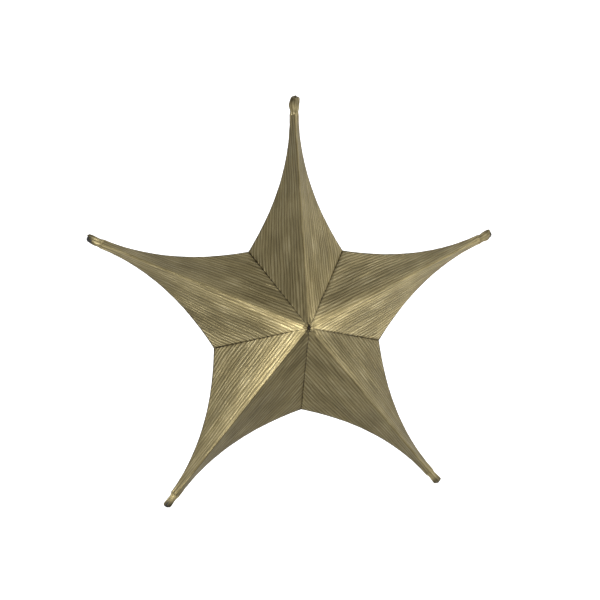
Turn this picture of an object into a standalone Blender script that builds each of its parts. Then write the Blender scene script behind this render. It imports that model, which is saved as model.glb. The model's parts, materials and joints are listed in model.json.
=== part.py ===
"""A folding cloth star: five wire ribs open like an umbrella's inside a sewn cover with a front and a back.

Metres, +Z up. The star hangs in the XZ plane with its front towards -Y. The origin is the eye in the top arm's
end cap, the point that the star hangs from. The star frame used below has x to the right, y up and z to the
front, with its own origin on the shaft where the plane of the arms' edges crosses it.
"""

import math

import bmesh
import bpy
from mathutils import Matrix, Vector

for old in list(bpy.data.objects):
    bpy.data.objects.remove(old)

# Arms, as angles from +X towards +Z. The lower gaps are wider than the upper ones, as the star hangs.
ARMS = {"top": 90.0, "right": 23.2, "lower_right": -48.8, "lower_left": -126.8, "left": 156.8}

# Cover
CORNER_RADIUS = 0.126  # shaft to the corner between two arms
APEX = 0.0915  # mid plane to the front button's crown, and to the rear cap's face
CLOTH = 0.0008
APEX_RING = 0.0128  # where the panels begin, under the button and the cap
NECK_START = 0.302  # where an arm stops narrowing
PANEL_END = 0.3035
KNEE_GAP = 0.0004  # between the two pieces of a back panel, and between them and the rear cap
NECK_HALF = 0.0062
EDGE_HEIGHT = 0.0011  # the panels' edges stand this far off the mid plane
SEAM_GAP = 0.0003
RIDGE_HALF = 0.0032  # the rounded ridge over a rib
RIDGE_DROP = 0.0005

# Frame
SHAFT_REAR = -0.0842
SHAFT_R = 0.004
SHAFT_BORE = 0.0032
HINGE_RADIUS = 0.009  # rib and runner pivots, from the shaft's axis
HINGE_HEIGHT = 0.0849  # rib pivots, in front of the mid plane
RIB_R = 0.0015
RIB_LENGTH = 0.3175
RIB_TILT = math.radians(15.66)  # a rib's lean back from square to the shaft, when open
RIDGE_OFFSET = 0.0032  # rib's centreline to the cover's ridge
EYE_R = 0.0024
EYE_THICK = 0.0016
EYE_HOLE = 0.001
NECK_LENGTH = 0.006
NECK_WIDE = 0.0026
NECK_INTO = 0.001  # into the wire
NECK_STEP = 0.0001  # the neck is this much thinner on each face
CROWN_R = 0.012
CROWN_REAR = 0.0035  # from the rib pivots back to the crown's rear face
CROWN_FRONT = 0.0026  # and forward to its front face
SPIGOT = 0.008  # how far the crown's stem goes into the shaft
SOCKET_R = 0.0024  # in the crown, for the button's stem
SOCKET_DEEP = 0.004
WIRE_R = 0.0006
CAP_START = 0.3068  # the end caps, along a rib
CAP_END = 0.3278
CAP_MOUTH_R = 0.0034
CAP_SHOULDER = 0.004  # the mouth's taper
CAP_SHOULDER_R = 0.0040
CAP_SWELL_R = 0.0046
CAP_R = 0.0052
CAP_NOSE_R = 0.0026
CAP_EYE = 0.3225
CAP_EYE_R = 0.0015

# Button and rear cap
BUTTON_R = 0.0135
BUTTON_BASE = HINGE_HEIGHT + 0.0031
BUTTON_RIM = 0.0008
BUTTON_STEM_R = 0.002
BUTTON_STEM = 0.003
REAR_CAP_R = 0.0135
REAR_CAP_BEVEL = 0.001
REAR_HUB_R = 0.006
REAR_HUB = -0.0845  # the hub's face, behind the shaft's end
REAR_STEM = -0.076

# Stretchers and runner
PIVOT_ALONG = 0.075  # stretcher pivot, along the rib
PIVOT_BELOW = 0.0054  # and inside it
STRETCHER_R = 0.0011
CLIP_LONG = 0.004  # half of a clip's length along the rib
CLIP_WIDE = 0.0027
CLIP_TOP = 0.0017
CLIP_BELOW = 0.0028
LIP_RISE = 0.0009  # rib's centreline to the clip's open lips
PIN_HEAD_R = 0.0017
PIN_R = 0.0007
PIN_HALF = 0.0038
STRETCHER = math.hypot(PIVOT_ALONG, PIVOT_BELOW)
PIVOT_POLAR = math.pi / 2 - RIB_TILT - math.atan2(PIVOT_BELOW, PIVOT_ALONG)
RUNNER_HEIGHT = HINGE_HEIGHT - 2 * STRETCHER * math.cos(PIVOT_POLAR)
SLEEVE_R = 0.0062
SLEEVE_BORE = 0.0043
SLEEVE_FRONT = 0.005  # from the stretchers' pivots to the sleeve's ends
SLEEVE_REAR = 0.014
FLANGE_HALF = 0.003
RUNNER_SLOT = 0.0032
SLOT = 0.0024
STOP_R = 0.0058
STOP_LONG = 0.003
GAP = 0.0003
THROUGH = 0.01  # cutters run this far past what they cut
CAP_FACE = 0.0885  # the rear cap's inner face

# Catch
CATCH_FRONT = RUNNER_HEIGHT - SLEEVE_REAR - GAP
CATCH_REAR = CATCH_FRONT - 0.010
CATCH_ANGLE = math.radians(-90)  # between the two lower arms
CATCH_NOSE = 0.004  # the part of the catch that stands proud at its full height
CATCH_HALF = 0.0012
LEAF_LENGTH = 0.020
LEAF_INSIDE = 0.0014
LEAF_OUTSIDE = 0.0028
CATCH_PROUD = 0.0059
WINDOW_HALF = 0.0015
WINDOW_ROOM = 0.0005

# Zip, beside the back ridge of one arm
ZIP_ARM = "lower_left"
ZIP_START = 0.108
ZIP_END = 0.208
ZIP_ASIDE = 0.018  # down the cloth from the ridge, towards the next arm
TAPE_HALF = 0.009
TAPE_LIFT = 0.001
ZIP_ROWS = 6
CHAIN_HALF = 0.0022
CHAIN_THICK = 0.0016
CHAIN_CLEAR = 0.001  # over the tape, which twists a little along the zip
CHAIN_END = 0.003  # the chain stops this far from the tape's ends
SLIDER_PLACE = 0.010  # from the zip's outer end
SLIDER_LONG = 0.0055
SLIDER_HALF = 0.0042
SLIDER_ROOF = 0.0018
BRIDGE_LONG = 0.0025
BRIDGE_HALF = 0.0008
BRIDGE_RISE = 0.0036
PULL_RISE = 0.0018
PULL_HOLE_R = 0.0011
PULL_BAR_R = 0.0006
PULL_BAR_HALF = 0.0022
PULL_ARM = 0.0017
PULL_NECK = 0.0046
PULL_LONG = 0.026
PULL_HALF = 0.0028

EYE_POINT = (
    HINGE_RADIUS + CAP_EYE * math.cos(RIB_TILT),
    HINGE_HEIGHT - CAP_EYE * math.sin(RIB_TILT),
)
CENTRE = Vector((0, EYE_POINT[1], -EYE_POINT[0]))


def empty(name, parent=None, local=Matrix.Identity(4)):
    """An empty, which only holds a frame."""
    held = bpy.data.objects.new(name, None)
    bpy.context.scene.collection.objects.link(held)
    held.parent = parent
    held.matrix_local = local
    return held


STAR = empty("star_frame", None, Matrix.Translation(CENTRE) @ Matrix.Rotation(math.pi / 2, 4, "X"))


def material(name, colour, roughness, metallic):
    made = bpy.data.materials.new(name)
    made.use_nodes = True
    shader = made.node_tree.nodes["Principled BSDF"]
    shader.inputs["Base Color"].default_value = (*colour, 1)
    shader.inputs["Roughness"].default_value = roughness
    shader.inputs["Metallic"].default_value = metallic
    return made


LAME = material("lame_cloth", (0.30, 0.24, 0.12), 0.4, 0.8)
STEEL = material("steel", (0.55, 0.55, 0.56), 0.35, 1.0)
BRASS = material("brass", (0.60, 0.45, 0.20), 0.3, 1.0)
BLACK = material("black_plastic", (0.03, 0.03, 0.03), 0.5, 0.0)
TAPE = material("zip_tape", (0.20, 0.16, 0.08), 0.8, 0.0)


def node(name, mesh, finish, parent, local=Matrix.Identity(4)):
    """One named part."""
    made = bpy.data.objects.new(name, mesh)
    bpy.context.scene.collection.objects.link(made)
    if not mesh.materials:
        mesh.materials.append(finish)
    made.parent = parent
    made.matrix_local = local
    return made


def mesh_of(build):
    """A mesh from what build does to a bmesh, with its faces pointing out."""
    form = bmesh.new()
    build(form)
    bmesh.ops.recalc_face_normals(form, faces=form.faces)
    made = bpy.data.meshes.new("form")
    form.to_mesh(made)
    form.free()
    made.set_sharp_from_angle(angle=math.radians(35))
    return made


def block(low, high):
    low, high = Vector(low), Vector(high)
    at = Matrix.Translation((low + high) / 2) @ Matrix.Diagonal((*(high - low), 1))
    return mesh_of(lambda form: bmesh.ops.create_cube(form, size=1, matrix=at))


def rod(start, end, radius, sides=8):
    start, end = Vector(start), Vector(end)
    along = end - start
    at = Matrix.Translation((start + end) / 2) @ along.to_track_quat("Z", "Y").to_matrix().to_4x4()
    return mesh_of(
        lambda form: bmesh.ops.create_cone(
            form, cap_ends=True, segments=sides, radius1=radius, radius2=radius,
            depth=along.length, matrix=at,
        )
    )


def turned(profile, sides=24, axis="Z"):
    """A solid turned about an axis, from (radius, height) points that run round its section."""
    turn = Matrix.Rotation(math.pi / 2, 4, "Y") if axis == "X" else Matrix.Identity(4)

    def build(form):
        rings = []
        for radius, height in profile:
            steps = sides if radius > 0 else 1
            angles = [2 * math.pi * i / sides for i in range(steps)]
            points = [(radius * math.cos(a), radius * math.sin(a), height) for a in angles]
            rings.append([form.verts.new(turn @ Vector(p)) for p in points])
        for first, second in zip(rings, rings[1:] + rings[:1]):
            for i in range(sides):
                j = (i + 1) % sides
                corners = [first[i % len(first)], first[j % len(first)],
                           second[j % len(second)], second[i % len(second)]]
                kept = list(dict.fromkeys(corners))
                if len(kept) > 2:
                    form.faces.new(kept)

    return mesh_of(build)


def ring(radius, wire, height, around=40, sides=6):
    """A wire bent to a circle about the z axis."""
    turns = [2 * math.pi * i / sides for i in range(sides)]
    return turned([(radius + wire * math.cos(a), height + wire * math.sin(a)) for a in turns], around)


def combined(body, tools, operation):
    """The mesh left when each tool is cut from the body or joined to it."""
    holder = bpy.data.objects.new("body", body)
    bpy.context.scene.collection.objects.link(holder)
    others = []
    for tool in tools:
        other = bpy.data.objects.new("tool", tool)
        bpy.context.scene.collection.objects.link(other)
        step = holder.modifiers.new("step", "BOOLEAN")
        step.object, step.operation, step.solver = other, operation, "EXACT"
        others.append(other)
    graph = bpy.context.evaluated_depsgraph_get()
    made = bpy.data.meshes.new_from_object(holder.evaluated_get(graph))
    for done in [holder, *others]:
        bpy.data.objects.remove(done)
    made.materials.clear()
    return made


def cut(body, *tools):
    return combined(body, tools, "DIFFERENCE")


def joined(body, *tools):
    return combined(body, tools, "UNION")


# Frames of one arm


def arm_frame(name):
    return Matrix.Rotation(math.radians(ARMS[name]), 4, "Z")


RIB_FRAME = Matrix.Translation((HINGE_RADIUS, 0, HINGE_HEIGHT)) @ Matrix.Rotation(RIB_TILT, 4, "Y")


def stretcher_frame():
    """x runs from the pivot on the rib to the pivot on the runner."""
    outer = RIB_FRAME @ Vector((PIVOT_ALONG, 0, -PIVOT_BELOW))
    reach = Vector((HINGE_RADIUS, 0, RUNNER_HEIGHT)) - outer
    return Matrix.Translation(outer) @ Matrix.Rotation(math.atan2(-reach.z, reach.x), 4, "Y")


# Cover


def half_gaps(name):
    """Half of the angle to the next arm, on the +y side of this arm and on its -y side."""
    angles = sorted(a % 360 for a in ARMS.values())
    here = angles.index(ARMS[name] % 360)
    ahead = (angles[(here + 1) % len(angles)] - angles[here]) % 360
    behind = (angles[here] - angles[here - 1]) % 360
    return math.radians(ahead / 2), math.radians(behind / 2)


def ridge_height(r, back):
    """Height of a panel's ridge off the mid plane: over the rib in front, straight from cap to neck behind."""
    over_rib = HINGE_HEIGHT - (r - HINGE_RADIUS) * math.tan(RIB_TILT) + RIDGE_OFFSET / math.cos(RIB_TILT)
    if not back:
        return over_rib
    neck = ridge_height(PANEL_END, False)
    start = CAP_FACE - KNEE_GAP
    return start + (neck - start) * (r - APEX_RING) / (PANEL_END - APEX_RING)


def edge_point(r, half_gap, back):
    """(half width, height) of a panel's edge: the seam to the next arm, then the cover's outline."""
    corner_along = CORNER_RADIUS * math.cos(half_gap)
    corner_half = CORNER_RADIUS * math.sin(half_gap)
    if r <= corner_along:
        top = ridge_height(APEX_RING, back)
        out = (r / math.cos(half_gap) - APEX_RING) / (CORNER_RADIUS - APEX_RING)
        half = r * math.tan(half_gap) - SEAM_GAP / math.cos(half_gap)
        return half, top + (EDGE_HEIGHT - top) * max(out, 0)
    left = max(NECK_START - r, 0) / (NECK_START - corner_along)
    return NECK_HALF + (corner_half - SEAM_GAP - NECK_HALF) * left**2, EDGE_HEIGHT


def panel_rows(half_gap, piece):
    """Distances along the arm: closer together near the corner, where the edge turns."""
    corner = CORNER_RADIUS * math.cos(half_gap)
    inner = [APEX_RING + (corner - KNEE_GAP - APEX_RING) * i / 4 for i in range(5)]
    outer = [corner + (PANEL_END - corner) * (i / 8) ** 1.15 for i in range(9)]
    return {"inner": inner, "outer": outer, "whole": inner[:-1] + outer}[piece]


def cover_point(r, share, half_gap, back):
    """A point of half a panel: share runs from the ridge's shoulder, 0, to the edge, 1."""
    top = ridge_height(r, back)
    half, low = edge_point(r, half_gap, back)
    shoulder = min(RIDGE_HALF, half * 0.5)
    fallen = top - RIDGE_DROP * shoulder / RIDGE_HALF
    return Vector((r, shoulder + (half - shoulder) * share, fallen + (low - fallen) * share))


def panel_row(r, side, half_gap, back):
    """Points of one side of a panel, from beside the ridge to the edge. The innermost lie on the apex ring."""
    if r == APEX_RING:
        angles = [half_gap * share for share in (0.29, 0.62, 0.96)]
        row = [Vector((r * math.cos(a), r * math.sin(a), ridge_height(r, back))) for a in angles]
    else:
        row = [cover_point(r, share, half_gap, back) for share in (0, 0.5, 1)]
    return [Vector((p.x, side * p.y, p.z)) for p in row]


def panel(name, back, piece):
    """The cloth of one arm, seam to seam, folded along its ridge: an open sheet until its Solidify."""
    flip = -1 if back else 1

    def build(form):
        rows = {}
        for side, half_gap in zip((1, -1), half_gaps(name)):
            rows[side] = [(r, panel_row(r, side, half_gap, back)) for r in panel_rows(half_gap, piece)]
        spine = [form.verts.new((r, 0, flip * ridge_height(r, back))) for r, _ in rows[1]]
        for side in (1, -1):
            grid = []
            for middle, (_, row) in zip(spine, rows[side]):
                grid.append([middle] + [form.verts.new((p.x, p.y, flip * p.z)) for p in row])
            join_rows(form, grid)

    return facing(mesh_of(build), flip)


def join_rows(form, grid):
    """Faces between each row of points and the next."""
    for first, second in zip(grid, grid[1:]):
        for j in range(len(first) - 1):
            form.faces.new((first[j], first[j + 1], second[j + 1], second[j]))


def facing(mesh, direction):
    """The mesh with its faces towards +z or -z."""
    if sum(f.normal.z * f.area for f in mesh.polygons) * direction < 0:
        mesh.flip_normals()
    return mesh


def add_sheet(name, mesh, finish, at, offset):
    """A sheet given its thickness, inwards from its faces or outwards."""
    part = node(name, mesh, finish, STAR, at)
    wall = part.modifiers.new("cloth", "SOLIDIFY")
    wall.thickness, wall.offset, wall.use_even_offset = CLOTH, offset, True


def add_panels():
    """A front panel for each arm, and a back panel in two pieces that fold where the arm begins."""
    for name in ARMS:
        at = arm_frame(name)
        add_sheet(f"front_panel_{name}", panel(name, False, "whole"), LAME, at, -1)
        add_sheet(f"back_panel_outer_{name}", panel(name, True, "outer"), LAME, at, -1)
        add_sheet(f"back_panel_inner_{name}", panel(name, True, "inner"), LAME, at, -1)


# Ribs and stretchers


def eye_end(at, towards, hole):
    """A flattened end: an eye and its neck, and the hole's cutter, along x from a point on the x axis."""
    eye = rod((at, -EYE_THICK / 2, 0), (at, EYE_THICK / 2, 0), EYE_R, 14)
    start, end = sorted((at, at + towards * (NECK_LENGTH + NECK_INTO)))
    thick = EYE_THICK / 2 - NECK_STEP
    neck = block((start, -thick, -NECK_WIDE / 2), (end, thick, NECK_WIDE / 2))
    cutter = rod((at, -EYE_THICK, 0), (at, EYE_THICK, 0), hole, 10)
    return eye, neck, cutter


def rib_mesh():
    eye, neck, hole = eye_end(0, 1, EYE_HOLE)
    return cut(joined(rod((NECK_LENGTH, 0, 0), (RIB_LENGTH, 0, 0), RIB_R), neck, eye), hole)


def stretcher_mesh():
    outer, outer_neck, outer_hole = eye_end(0, 1, EYE_HOLE)
    inner, inner_neck, inner_hole = eye_end(STRETCHER, -1, EYE_HOLE)
    wire = rod((NECK_LENGTH, 0, 0), (STRETCHER - NECK_LENGTH, 0, 0), STRETCHER_R)
    return cut(joined(wire, outer_neck, outer, inner_neck, inner), outer_hole, inner_hole)


def clip_mesh():
    """The saddle that holds a stretcher's end under a rib, about the stretcher's pivot."""
    lift = PIVOT_BELOW
    body = block((-CLIP_LONG, -CLIP_WIDE, -CLIP_BELOW), (CLIP_LONG, CLIP_WIDE, lift + CLIP_TOP))
    bore = rod((-THROUGH, 0, lift), (THROUGH, 0, lift), RIB_R + GAP, 12)
    slot = block((-THROUGH, -SLOT / 2, -THROUGH), (THROUGH, SLOT / 2, EYE_R + GAP))
    hole = rod((0, -THROUGH, 0), (0, THROUGH, 0), EYE_HOLE, 10)
    lips = block((-THROUGH, -RIB_R, lift + LIP_RISE), (THROUGH, RIB_R, lift + THROUGH))
    return cut(body, bore, slot, hole, lips)


def pin_mesh():
    """A headed pin across the clip, along y."""
    inside = CLIP_WIDE + GAP
    profile = [(0, -PIN_HALF), (PIN_HEAD_R, -PIN_HALF), (PIN_HEAD_R, -inside), (PIN_R, -inside),
               (PIN_R, inside), (PIN_HEAD_R, inside), (PIN_HEAD_R, PIN_HALF), (0, PIN_HALF)]
    made = turned(profile, 10)
    made.transform(Matrix.Rotation(math.pi / 2, 4, "X"))
    return made


def end_cap_mesh():
    """A rib's end cap, bored for the rib and drilled with an eye, along x."""
    bore, bottom = RIB_R + GAP, RIB_LENGTH + GAP
    shell = [(bore, CAP_START), (CAP_MOUTH_R, CAP_START), (CAP_SHOULDER_R, CAP_START + CAP_SHOULDER),
             (CAP_SWELL_R, CAP_END - 0.010), (CAP_R, CAP_END - 0.006), (CAP_SWELL_R, CAP_END - 0.002),
             (CAP_NOSE_R, CAP_END), (0, CAP_END), (0, bottom), (bore, bottom)]
    eye = rod((CAP_EYE, 0, -THROUGH), (CAP_EYE, 0, THROUGH), CAP_EYE_R, 10)
    return cut(turned(shell, 12, "X"), eye)


def add_ribs():
    """Each arm's rib, with its end cap, clip, pin and stretcher."""
    rib, cap, clip, pin, stretcher = rib_mesh(), end_cap_mesh(), clip_mesh(), pin_mesh(), stretcher_mesh()
    at_pivot = Matrix.Translation((PIVOT_ALONG, 0, -PIVOT_BELOW))
    for name in ARMS:
        hinge = empty(f"hinge_{name}", STAR, arm_frame(name) @ RIB_FRAME)
        node(f"rib_{name}", rib, STEEL, hinge)
        node(f"end_cap_{name}", cap, BLACK, hinge)
        node(f"clip_{name}", clip, STEEL, hinge, at_pivot)
        node(f"pin_{name}", pin, BRASS, hinge, at_pivot)
        node(f"stretcher_{name}", stretcher, STEEL, STAR, arm_frame(name) @ stretcher_frame())


# Shaft and what is on it


def radial_slots(inner, width, low, high):
    """A slot cutter along each arm, open at the outside."""
    slots = []
    for name in ARMS:
        slot = block((inner, -width / 2, low), (CROWN_R + THROUGH, width / 2, high))
        slot.transform(arm_frame(name))
        slots.append(slot)
    return slots


def add_crown():
    """The slotted crown on the shaft's front end, and the wire that the ribs turn on."""
    low, high, bevel = HINGE_HEIGHT - CROWN_REAR, HINGE_HEIGHT + CROWN_FRONT, 0.001
    stem = SHAFT_BORE - GAP
    profile = [(0, low - SPIGOT), (stem, low - SPIGOT), (stem, low), (CROWN_R, low), (CROWN_R, high - bevel),
               (CROWN_R - bevel, high), (SOCKET_R, high), (SOCKET_R, high - SOCKET_DEEP),
               (0, high - SOCKET_DEEP)]
    slots = radial_slots(HINGE_RADIUS - EYE_R - GAP, SLOT, low - THROUGH, high + THROUGH)
    tunnel = ring(HINGE_RADIUS, WIRE_R + GAP, HINGE_HEIGHT)
    node("front_crown", cut(turned(profile, 30), tunnel, *slots), BLACK, STAR)
    node("hinge_wire", ring(HINGE_RADIUS, WIRE_R, HINGE_HEIGHT), STEEL, STAR)


def add_button():
    """The domed button over the front panels' inner ends, with its stem in the crown."""
    shoulder = BUTTON_BASE + BUTTON_RIM
    angles = [math.radians(18 * i) for i in range(5)]
    dome = [(BUTTON_R * math.cos(a), shoulder + (APEX - shoulder) * math.sin(a)) for a in angles]
    stem = BUTTON_BASE - BUTTON_STEM
    profile = [(0, stem), (BUTTON_STEM_R, stem), (BUTTON_STEM_R, BUTTON_BASE), (BUTTON_R, BUTTON_BASE),
               *dome, (0, APEX)]
    node("front_button", turned(profile, 30), LAME, STAR)


def add_rear_cap():
    """The disc behind the back panels' inner ends, with a hub behind the shaft and a stem inside it."""
    stem = SHAFT_BORE - GAP
    profile = [(0, -APEX), (REAR_CAP_R - REAR_CAP_BEVEL, -APEX), (REAR_CAP_R, -APEX + REAR_CAP_BEVEL),
               (REAR_CAP_R, -CAP_FACE), (REAR_HUB_R, -CAP_FACE), (REAR_HUB_R, REAR_HUB), (stem, REAR_HUB),
               (stem, REAR_STEM), (0, REAR_STEM)]
    node("rear_cap", turned(profile, 30), BLACK, STAR)


def add_shaft():
    """The tube, with a window for the catch, and the collar that stops the runner in front."""
    top = HINGE_HEIGHT - CROWN_REAR - GAP
    tube = turned([(SHAFT_BORE, SHAFT_REAR), (SHAFT_R, SHAFT_REAR), (SHAFT_R, top), (SHAFT_BORE, top)], 20)
    rear, front = CATCH_REAR - WINDOW_ROOM, CATCH_FRONT + WINDOW_ROOM
    window = block((0, -WINDOW_HALF, rear), (THROUGH, WINDOW_HALF, front))
    window.transform(Matrix.Rotation(CATCH_ANGLE, 4, "Z"))
    node("shaft", cut(tube, window), STEEL, STAR)
    bore, low = SHAFT_R + GAP, RUNNER_HEIGHT + SLEEVE_FRONT + 2 * GAP
    high = low + STOP_LONG
    node("runner_stop", turned([(bore, low), (STOP_R, low), (STOP_R, high), (bore, high)], 20), BRASS, STAR)


def add_catch():
    """The leaf that springs out of the shaft behind the runner and holds the star open."""
    end = CATCH_REAR - LEAF_LENGTH
    outline = [(CATCH_FRONT, LEAF_INSIDE), (CATCH_FRONT, CATCH_PROUD), (CATCH_FRONT - CATCH_NOSE, CATCH_PROUD),
               (CATCH_REAR, LEAF_OUTSIDE), (end, LEAF_OUTSIDE), (end, LEAF_INSIDE)]

    def build(form):
        base = form.faces.new([form.verts.new((out, -CATCH_HALF, along)) for along, out in outline])
        grown = bmesh.ops.extrude_face_region(form, geom=[base])["geom"]
        moved = [v for v in grown if isinstance(v, bmesh.types.BMVert)]
        bmesh.ops.translate(form, vec=(0, 2 * CATCH_HALF, 0), verts=moved)

    node("catch_spring", mesh_of(build), STEEL, STAR, Matrix.Rotation(CATCH_ANGLE, 4, "Z"))


def add_runner():
    """The sleeve that slides on the shaft, with a slotted flange for the stretchers' ends."""
    at = RUNNER_HEIGHT
    profile = [(SLEEVE_BORE, at - SLEEVE_REAR), (SLEEVE_R, at - SLEEVE_REAR), (SLEEVE_R, at - FLANGE_HALF),
               (CROWN_R, at - FLANGE_HALF), (CROWN_R, at + FLANGE_HALF), (SLEEVE_R, at + FLANGE_HALF),
               (SLEEVE_R, at + SLEEVE_FRONT), (SLEEVE_BORE, at + SLEEVE_FRONT)]
    slots = radial_slots(SLEEVE_R - 0.0001, RUNNER_SLOT, at - 2 * FLANGE_HALF, at + 2 * FLANGE_HALF)
    node("runner", cut(turned(profile, 30), *slots), BLACK, STAR)


# Zip


def zip_point(r, aside):
    """A point of the cloth beside the back ridge of the zip's arm, so far down from the ridge's shoulder."""
    half_gap = half_gaps(ZIP_ARM)[0]
    shoulder, edge = cover_point(r, 0, half_gap, True), cover_point(r, 1, half_gap, True)
    point = shoulder + (edge - shoulder).normalized() * aside
    return Vector((point.x, point.y, -point.z))


def zip_frame():
    """x runs out along the zip from its inner end, and z points away from the star."""
    start, end = zip_point(ZIP_START, ZIP_ASIDE), zip_point(ZIP_END, ZIP_ASIDE)
    middle = (ZIP_START + ZIP_END) / 2
    along = (end - start).normalized()
    away = (zip_point(middle, ZIP_ASIDE) - zip_point(middle, 0)).cross(along).normalized()
    turn = Matrix((along, away.cross(along), away)).transposed().to_4x4()
    return Matrix.Translation(start) @ turn, (end - start).length


def zip_tape_mesh(away):
    """A strip of tape beside the ridge, lifted off the cloth, in the arm's frame."""

    def build(form):
        grid = []
        for i in range(ZIP_ROWS + 1):
            r = ZIP_START + (ZIP_END - ZIP_START) * i / ZIP_ROWS
            row = [zip_point(r, ZIP_ASIDE + off) + away * TAPE_LIFT for off in (-TAPE_HALF, 0, TAPE_HALF)]
            grid.append([form.verts.new(point) for point in row])
        join_rows(form, grid)

    return facing(mesh_of(build), -1)


def slider_mesh(at, length, low, high):
    """The slider round the chain, with the bridge that the pull hangs on."""
    top = high + SLIDER_ROOF
    shell = block((at - SLIDER_LONG, -SLIDER_HALF, low), (at + SLIDER_LONG, SLIDER_HALF, top))
    channel = block((0, -CHAIN_HALF - GAP, 0), (length + THROUGH, CHAIN_HALF + GAP, high + GAP))
    bridge_top = top + BRIDGE_RISE
    bridge = block((at - BRIDGE_LONG, -BRIDGE_HALF, top - GAP), (at + BRIDGE_LONG, BRIDGE_HALF, bridge_top))
    hole = rod((at, -THROUGH, top + PULL_RISE), (at, THROUGH, top + PULL_RISE), PULL_HOLE_R, 10)
    return cut(joined(cut(shell, channel), bridge), hole)


def pull_mesh():
    """A flat pull on two arms that hold a bar, which turns in the slider's bridge. It lies along x."""
    bar = rod((0, -PULL_BAR_HALF, 0), (0, PULL_BAR_HALF, 0), PULL_BAR_R, 8)
    arms = []
    for y in (-PULL_ARM, PULL_ARM):
        low = (-PULL_BAR_R, y - BRIDGE_HALF + GAP, -PULL_BAR_R)
        high = (PULL_NECK + PULL_BAR_R, y + BRIDGE_HALF - GAP, PULL_BAR_R)
        arms.append(block(low, high))
    plate = block((PULL_NECK, -PULL_HALF, -PULL_BAR_R), (PULL_LONG, PULL_HALF, PULL_BAR_R))
    return joined(plate, *arms, bar)


def add_zip():
    """The zip over the opening in the back of one arm. Its slider closes it at the outer end."""
    local, length = zip_frame()
    arm = arm_frame(ZIP_ARM)
    frame = arm @ local
    add_sheet("zip_tape", zip_tape_mesh(local.to_3x3().col[2]), TAPE, arm, 1)
    low = TAPE_LIFT + CLOTH + CHAIN_CLEAR
    high = low + CHAIN_THICK
    chain = block((CHAIN_END, -CHAIN_HALF, low), (length - CHAIN_END, CHAIN_HALF, high))
    node("zip_chain", chain, BRASS, STAR, frame)
    slider_at = length - SLIDER_PLACE
    node("zip_slider", slider_mesh(slider_at, length, low, high), BRASS, STAR, frame)
    pivot = Matrix.Translation((slider_at, 0, high + SLIDER_ROOF + PULL_RISE))
    node("zip_pull", pull_mesh(), BRASS, STAR, frame @ pivot)


add_panels()
add_ribs()
add_crown()
add_button()
add_rear_cap()
add_shaft()
add_catch()
add_runner()
add_zip()
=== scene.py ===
"""Looks of a folding cloth star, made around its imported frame.

Metres. An arm's frame, used below, has x out along the arm, y across it and z to the front. Its origin is on
the shaft, where the plane of the arms' edges crosses it. Heights are distances from that plane.
"""

import json
import math

import bmesh
import bpy
import numpy as np
from mathutils import Matrix, Vector


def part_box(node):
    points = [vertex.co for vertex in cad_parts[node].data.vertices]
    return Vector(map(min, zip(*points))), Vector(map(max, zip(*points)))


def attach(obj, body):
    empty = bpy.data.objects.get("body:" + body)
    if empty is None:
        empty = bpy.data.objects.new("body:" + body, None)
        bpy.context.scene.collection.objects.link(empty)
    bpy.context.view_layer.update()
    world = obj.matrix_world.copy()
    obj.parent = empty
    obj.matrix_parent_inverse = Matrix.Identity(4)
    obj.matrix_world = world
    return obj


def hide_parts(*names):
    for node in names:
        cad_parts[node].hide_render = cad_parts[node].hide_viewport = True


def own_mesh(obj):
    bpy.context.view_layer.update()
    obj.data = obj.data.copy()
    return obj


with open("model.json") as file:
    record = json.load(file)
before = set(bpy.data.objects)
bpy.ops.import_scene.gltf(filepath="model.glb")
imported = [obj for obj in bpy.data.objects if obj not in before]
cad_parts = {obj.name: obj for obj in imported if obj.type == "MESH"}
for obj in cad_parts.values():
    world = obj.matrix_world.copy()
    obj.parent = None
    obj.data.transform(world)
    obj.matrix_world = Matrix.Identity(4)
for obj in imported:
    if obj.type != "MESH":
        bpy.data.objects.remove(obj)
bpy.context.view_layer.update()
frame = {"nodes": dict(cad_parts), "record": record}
RECORD = frame["record"]
JOINTS = {joint["name"]: joint for joint in RECORD["behaviour"]["joints"]}

# Cover, with the CAD model's own dimensions
ARMS = ("top", "right", "lower_right", "lower_left", "left")
FRONT = Vector((0, -1, 0))
CORNER_RADIUS = 0.126  # shaft to the corner between two arms
RIB_TILT = math.radians(15.66)
RIDGE_OFFSET = 0.0032
NECK_START = 0.302  # where an arm stops narrowing
PANEL_END = 0.3035
NECK_HALF = 0.0062
EDGE_HEIGHT = 0.0011
APEX_RING = 0.0128
SEAM_GAP = 0.0003
REAR_CAP_THICK = 0.003
CLOTH = 0.0004
FOLDED_BASE = 0.022  # shaft to the arms' corners when the star is folded
BACK_FOLDED_BASE = 0.015  # the same for the back, which folds inside the front

# Zip, with the CAD model's own dimensions
ZIP_ARM = "lower_left"
ZIP_START = 0.108
ZIP_END = 0.208
ZIP_ASIDE = 0.018
RIDGE_HALF = 0.0032
RIDGE_DROP = 0.0005
TAPE_HALF = 0.009
TAPE_LIFT = 0.001
TAPE_THICK = 0.0006
TAPE_PAST = 0.003
CHAIN_END = 0.003
CHAIN_LOW = 0.0028
CHAIN_HALF = 0.0022
CHAIN_THICK = 0.0016
ZIP_CLEAR = 0.012  # the cloth is flat this far past the zip's ends
ZIP_FADE = 0.010

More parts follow.
